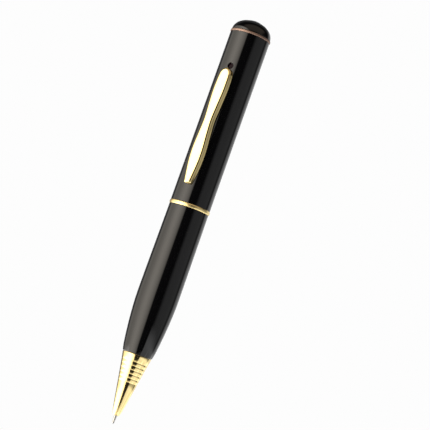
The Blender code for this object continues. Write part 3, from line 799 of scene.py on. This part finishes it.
def make_lens():
    """Coated window just inside the hole, in a matt black seat."""
    window = [(0.0, 6.42), (0.8, 6.40), (1.45, 6.30), (1.6, 6.2), (1.6, 5.9), (0.0, 5.9)]
    glass = turn_to_front(spun("lens_window_coated", window, SMALL_STEPS, 0.05), LENS_Z)
    join_body(settle(glass, GLASS), "camera_half", "lens_window")
    barrel = [
        (0.6, 5.8), (2.2, 5.8), (2.3, 5.6), (2.3, 2.9), (1.75, 2.9), (1.75, 5.3), (0.5, 5.3),
    ]
    holder = turn_to_front(spun("lens_barrel_moulded", barrel, SMALL_STEPS, 0.05), LENS_Z)
    join_body(settle(holder, BLACK_ABS), "camera_half", "lens_barrel")


# ---------------------------------------------------------------- USB plug and its liner

def pick_edges(piece, wanted):
    """Select only the edges that a test accepts, in edit mode."""
    bpy.ops.object.mode_set(mode="EDIT")
    bpy.ops.mesh.select_mode(type="EDGE")
    bpy.ops.mesh.select_all(action="DESELECT")
    edited = bmesh.from_edit_mesh(piece.data)
    for edge in edited.edges:
        edge.select_set(wanted(edge))
    bmesh.update_edit_mesh(piece.data)


def upright(edge):
    """Whether an edge runs along the pen."""
    run = edge.verts[0].co - edge.verts[1].co
    return abs(run.z) > 0.9 * run.length


def rounded_post(name, low, high, corner, segments=5):
    """A box whose four upright edges are rounded."""
    post = boxed(name, low, high, 0.0)
    pick_edges(post, upright)
    bpy.ops.mesh.bevel(offset=corner * MM, segments=segments, affect="EDGES")
    bpy.ops.mesh.select_mode(type="VERT")
    bpy.ops.object.mode_set(mode="OBJECT")
    return post


def make_plug_shell():
    """Folded steel shell: rounded tube with four latch windows and the fold's seam."""
    shell = rounded_post("usb_shell_folded", PLUG_LOW, PLUG_HIGH, 0.6)
    bpy.ops.object.mode_set(mode="EDIT")
    bpy.ops.mesh.select_mode(type="FACE")
    bpy.ops.mesh.select_all(action="DESELECT")
    edited = bmesh.from_edit_mesh(shell.data)
    for face in edited.faces:
        face.select_set(abs(face.normal.z) > 0.9)
    bmesh.update_edit_mesh(shell.data)
    bpy.ops.mesh.delete(type="FACE")
    bpy.ops.mesh.select_mode(type="VERT")
    bpy.ops.object.mode_set(mode="OBJECT")
    apply_modifier(shell, "SOLIDIFY", thickness=0.3 * MM, offset=-1.0)
    for side in (-3.0, 3.0):
        low = (side - 1.25, -3.0, PLUG_LOW.z + 5.2)
        high = (side + 1.25, 3.0, PLUG_LOW.z + 7.2)
        cut(shell, boxed("window_tool", low, high, 0.25, 3))
    low = (-0.04, -3.0, PLUG_LOW.z - 1.0)
    high = (0.04, -1.5, PLUG_HIGH.z + 1.0)
    cut(shell, boxed("seam_tool", low, high, 0.0))
    apply_modifier(
        shell, "BEVEL", width=0.05 * MM, segments=2, limit_method="ANGLE",
        angle_limit=math.radians(50),
    )
    settle(shell, STEEL)
    join_body(shell, "camera_half", "usb_plug_shell")


def make_plug_tongue():
    """White tongue with its thicker base, and four plated contacts with eased front ends."""
    low, high = span("usb_tongue")
    tongue = boxed("usb_tongue_moulded", low, (high.x, -0.11, high.z), 0.15, 3)
    base = boxed("tongue_base_tool", (low.x, -1.5, COLLAR_LOW.z), (high.x, high.y, high.z), 0.1)
    apply_modifier(tongue, "BOOLEAN", operation="UNION", object=base, solver="EXACT")
    bpy.data.objects.remove(base, do_unlink=True)
    join_body(settle(tongue, WHITE_NYLON), "camera_half", "usb_tongue")
    for index in range(4):
        name = "usb_contact_%d" % (index + 1)
        low, high = span(name)
        strip = boxed(name + "_plated", low, high, 0.06, 3)
        join_body(settle(strip, GOLD), "camera_half", name)


def make_collar_and_liner():
    """Moulded collar that the plug stands on, and the liner that it slides into."""
    top, base, radius = COLLAR_HIGH.z, COLLAR_LOW.z, COLLAR_HIGH.x
    step_z = BARREL_LOW.z
    outline = [(0.0, top), (radius, top), (radius, step_z), (6.58, step_z)]
    for height in (step_z - 2.0, step_z - 3.4):
        outline += [(6.58, height + 0.25), (6.42, height + 0.12)]
        outline += [(6.42, height - 0.12), (6.58, height - 0.25)]
    outline += [(6.58, base + 0.3), (6.35, base), (0.0, base)]
    collar = spun("usb_collar_moulded", outline, STEPS, 0.06)
    low = (PLUG_LOW.x - 0.05, PLUG_LOW.y - 0.05, base - 1.0)
    high = (PLUG_HIGH.x + 0.05, PLUG_HIGH.y + 0.05, PLUG_HIGH.z + 0.05)
    cut(collar, rounded_post("pocket_tool", low, high, 0.62))
    join_body(settle(collar, BLACK_ABS), "camera_half", "usb_collar")
    top, base, radius = LINER_HIGH.z, LINER_LOW.z, LINER_HIGH.x
    outline = [(0.0, top), (radius, top), (radius, base), (0.0, base)]
    liner = spun("plug_liner_moulded", outline, STEPS, 0.2)
    low = (PLUG_LOW.x - 0.1, PLUG_LOW.y - 0.1, base + 1.7)
    high = (PLUG_HIGH.x + 0.1, PLUG_HIGH.y + 0.1, top + 1.0)
    cut(liner, rounded_post("slot_tool", low, high, 0.62))
    join_body(settle(liner, BLACK_ABS), "writing_half", "plug_liner")


make_upper_barrel()
make_crown()
make_lower_barrel()
make_nose_cone()
make_refill()
make_clip()
make_lens()
make_plug_shell()
make_plug_tongue()
make_collar_and_liner()


# ---------------------------------------------------------------- camera, light and floor

VIEW_TURN = math.radians(25.5)    # the camera stands to the right of the clip
VIEW_RISE = math.radians(-5.5)    # and a little below the pen's middle
VIEW_LEAN = math.radians(19.50)   # the pen's top leans to the right
VIEW_DISTANCE = 0.55
VIEW_WIDTH = 0.1484               # what the frame takes in at the pen's distance
AIM_RIGHT = 0.01043               # metres that the aim stands off the pen's middle
AIM_UP = 0.00213
FLOOR_SIZE = 1.4
FLOOR_Z = -380.0                  # low enough that the tapers don't mirror the floor

PEN_MIDDLE = at(0.0, 0.0, 73.5)
FRONT = Vector((math.sin(VIEW_TURN), -math.cos(VIEW_TURN), 0.0))
SIDE = Vector((math.cos(VIEW_TURN), math.sin(VIEW_TURN), 0.0))


def make_camera():
    """Long lens, rolled so that the pen leans, aimed a little right of and above its middle."""
    back = FRONT * math.cos(VIEW_RISE) + Vector((0.0, 0.0, math.sin(VIEW_RISE)))
    level_up = back.cross(SIDE)
    up = level_up * math.cos(VIEW_LEAN) - SIDE * math.sin(VIEW_LEAN)
    right = up.cross(back)
    aim = PEN_MIDDLE + right * AIM_RIGHT + up * AIM_UP
    lens = bpy.data.cameras.new("camera")
    lens.sensor_width = 36.0
    lens.lens = lens.sensor_width * VIEW_DISTANCE / VIEW_WIDTH
    lens.clip_start = 0.01
    eye = bpy.data.objects.new("camera", lens)
    bpy.context.scene.collection.objects.link(eye)
    eye.location = aim + back * VIEW_DISTANCE
    eye.rotation_euler = Matrix((right, up, back)).transposed().to_euler()
    bpy.context.scene.camera = eye


def soft_edge(tree, along, share):
    """A cloth's brightness along one of its sides: full in the middle, none at both ends."""
    other = node(tree, "ShaderNodeMath", {0: 1.0, 1: along}, operation="SUBTRACT").outputs[0]
    inside = node(tree, "ShaderNodeMath", {0: along, 1: other}, operation="MINIMUM").outputs[0]
    sockets = {"Value": inside, "From Min": 0.0, "From Max": share, "To Min": 0.0, "To Max": 1.0}
    rise = node(tree, "ShaderNodeMapRange", sockets, interpolation_type="SMOOTHSTEP")
    return rise.outputs["Result"]


def panel(
    name, turn, rise, distance, width, height, radiance, code="#FFFFFF", profile=None, edge=0.3,
):
    """A soft box that faces the pen: turn is its bearing from the camera's, right positive.

    A profile lists (bearing from the camera's, share of the radiance) from its left to its right.
    Edge is the share of each side over which the cloth darkens.
    """
    out = FRONT * math.cos(math.radians(turn)) + SIDE * math.sin(math.radians(turn))
    out = out * math.cos(math.radians(rise)) + Vector((0.0, 0.0, math.sin(math.radians(rise))))
    light = bpy.data.lights.new(name, "AREA")
    light.shape = "RECTANGLE"
    light.size = width
    light.size_y = height
    light.energy = math.pi * width * height * radiance
    light.color = colour(code)[:3]
    light.use_nodes = True
    tree = light.node_tree
    across = node(tree, "ShaderNodeNewGeometry").outputs["Parametric"]
    face = node(tree, "ShaderNodeSeparateXYZ", {"Vector": across})
    strength = soft_edge(tree, face.outputs["Y"], edge)
    if not profile:
        ends = {0: strength, 1: soft_edge(tree, face.outputs["X"], edge)}
        strength = node(tree, "ShaderNodeMath", ends, operation="MULTIPLY").outputs[0]
    tree.links.new(strength, tree.nodes["Emission"].inputs["Strength"])
    if profile:
        ramp = node(tree, "ShaderNodeValToRGB", {"Fac": face.outputs["X"]})
        stops = ramp.color_ramp.elements
        for index, (bearing, share) in enumerate(profile):
            place = 0.5 + math.tan(math.radians(bearing - turn)) * distance / width
            stop = stops[index] if index < 2 else stops.new(min(place, 1.0))
            stop.position = min(max(place, 0.0), 1.0)
            stop.color = (share, share, share, 1.0)
        tree.links.new(ramp.outputs["Color"], tree.nodes["Emission"].inputs["Color"])
    lamp = bpy.data.objects.new(name, light)
    bpy.context.scene.collection.objects.link(lamp)
    lamp.location = PEN_MIDDLE + out * distance
    lamp.rotation_euler = out.to_track_quat("Z", "Y").to_euler()
    lamp.visible_camera = False


def make_lights():
    """A wide box that fades out on the left, a dim one on the right, low ones all round."""
    fade = [
        (-129.0, 0.19), (-118.0, 0.29), (-100.0, 0.42), (-84.0, 0.61), (-66.0, 0.90),
        (-54.0, 1.0), (-42.0, 0.90), (-30.0, 0.70), (-20.0, 0.46), (-14.0, 0.0),
    ]
    panel("left_box", -71.5, -8.0, 0.50, 1.62, 1.10, 3.45, "#FFF7EA", fade, 0.12)
    panel("right_box", 68.0, 3.0, 0.60, 1.16, 0.66, 0.37)
    panel("low_front_box", 3.0, -50.0, 0.60, 0.42, 0.46, 0.3)
    for turn in (46.0, 84.0, 122.0):
        panel("low_right_box_%d" % turn, turn, -38.0, 0.60, 0.473, 0.60, 0.96, edge=0.12)
    for turn in (-95.0, -138.0):
        panel("low_left_box_%d" % -turn, turn, -44.0, 0.45, 0.42, 0.48, 2.4)
    panel("top_box", 12.0, 56.0, 0.60, 1.70, 0.90, 0.42, "#FFEAD4")
    panel("back_box", 180.0, 10.0, 0.80, 0.36, 0.8, 1.6)


def make_surroundings():
    """White to the eye; to reflections, dark in front, grey behind, light behind right."""
    world = bpy.data.worlds.new("studio")
    bpy.context.scene.world = world
    world.use_nodes = True
    tree = world.node_tree
    tree.nodes.clear()
    place = node(tree, "ShaderNodeTexCoord").outputs["Generated"]
    level = None
    for bearing, wide, narrow, strength in ((180.0, 0.25, 0.55, 0.15), (150.0, 0.76, 0.88, 0.75)):
        turn = math.radians(bearing)
        towards = FRONT * math.cos(turn) + SIDE * math.sin(turn)
        sockets = {0: place, 1: towards}
        facing = node(tree, "ShaderNodeVectorMath", sockets, operation="DOT_PRODUCT")
        sockets = {
            "Value": facing.outputs["Value"], "From Min": wide, "From Max": narrow,
            "To Min": 0.008, "To Max": strength,
        }
        glow = node(tree, "ShaderNodeMapRange", sockets).outputs["Result"]
        if level is None:
            level = glow
        else:
            level = node(tree, "ShaderNodeMath", {0: level, 1: glow}).outputs[0]
    studio = node(tree, "ShaderNodeBackground", {"Color": colour("#FFFFFF"), "Strength": level})
    white = node(tree, "ShaderNodeBackground", {"Color": colour("#FDFDFD"), "Strength": 1.0})
    seen = node(tree, "ShaderNodeLightPath").outputs["Is Camera Ray"]
    mix = node(tree, "ShaderNodeMixShader", {0: seen, 1: studio.outputs[0], 2: white.outputs[0]})
    node(tree, "ShaderNodeOutputWorld", {"Surface": mix.outputs[0]})
    bpy.context.scene.view_settings.view_transform = "Standard"


def make_floor():
    """Pale floor well under the writing tip, with room for the lower half to come off."""
    deselect()
    bpy.ops.mesh.primitive_grid_add(
        x_subdivisions=8, y_subdivisions=8, size=FLOOR_SIZE, location=at(0.0, 0.0, FLOOR_Z),
    )
    floor = bpy.context.object
    floor.name = "floor"
    made, tree, shader, place = blank("pale_floor")
    tone = tint(tree, grain(tree, place, 40.0), "#F4F4F2", "#EFEFED")
    wire_up(tree, shader, Base_Color=tone, Emission_Color=tone)
    shader.inputs["Roughness"].default_value = 0.7
    # Pale to its far corners, which the boxes light unevenly, without lighting the pen from below
    seen = node(tree, "ShaderNodeLightPath").outputs["Is Camera Ray"]
    lift = node(tree, "ShaderNodeMath", {0: seen, 1: 0.85}, operation="MULTIPLY").outputs[0]
    tree.links.new(lift, shader.inputs["Emission Strength"])
    floor.data.materials.append(made)


make_camera()
make_lights()
make_surroundings()
make_floor()
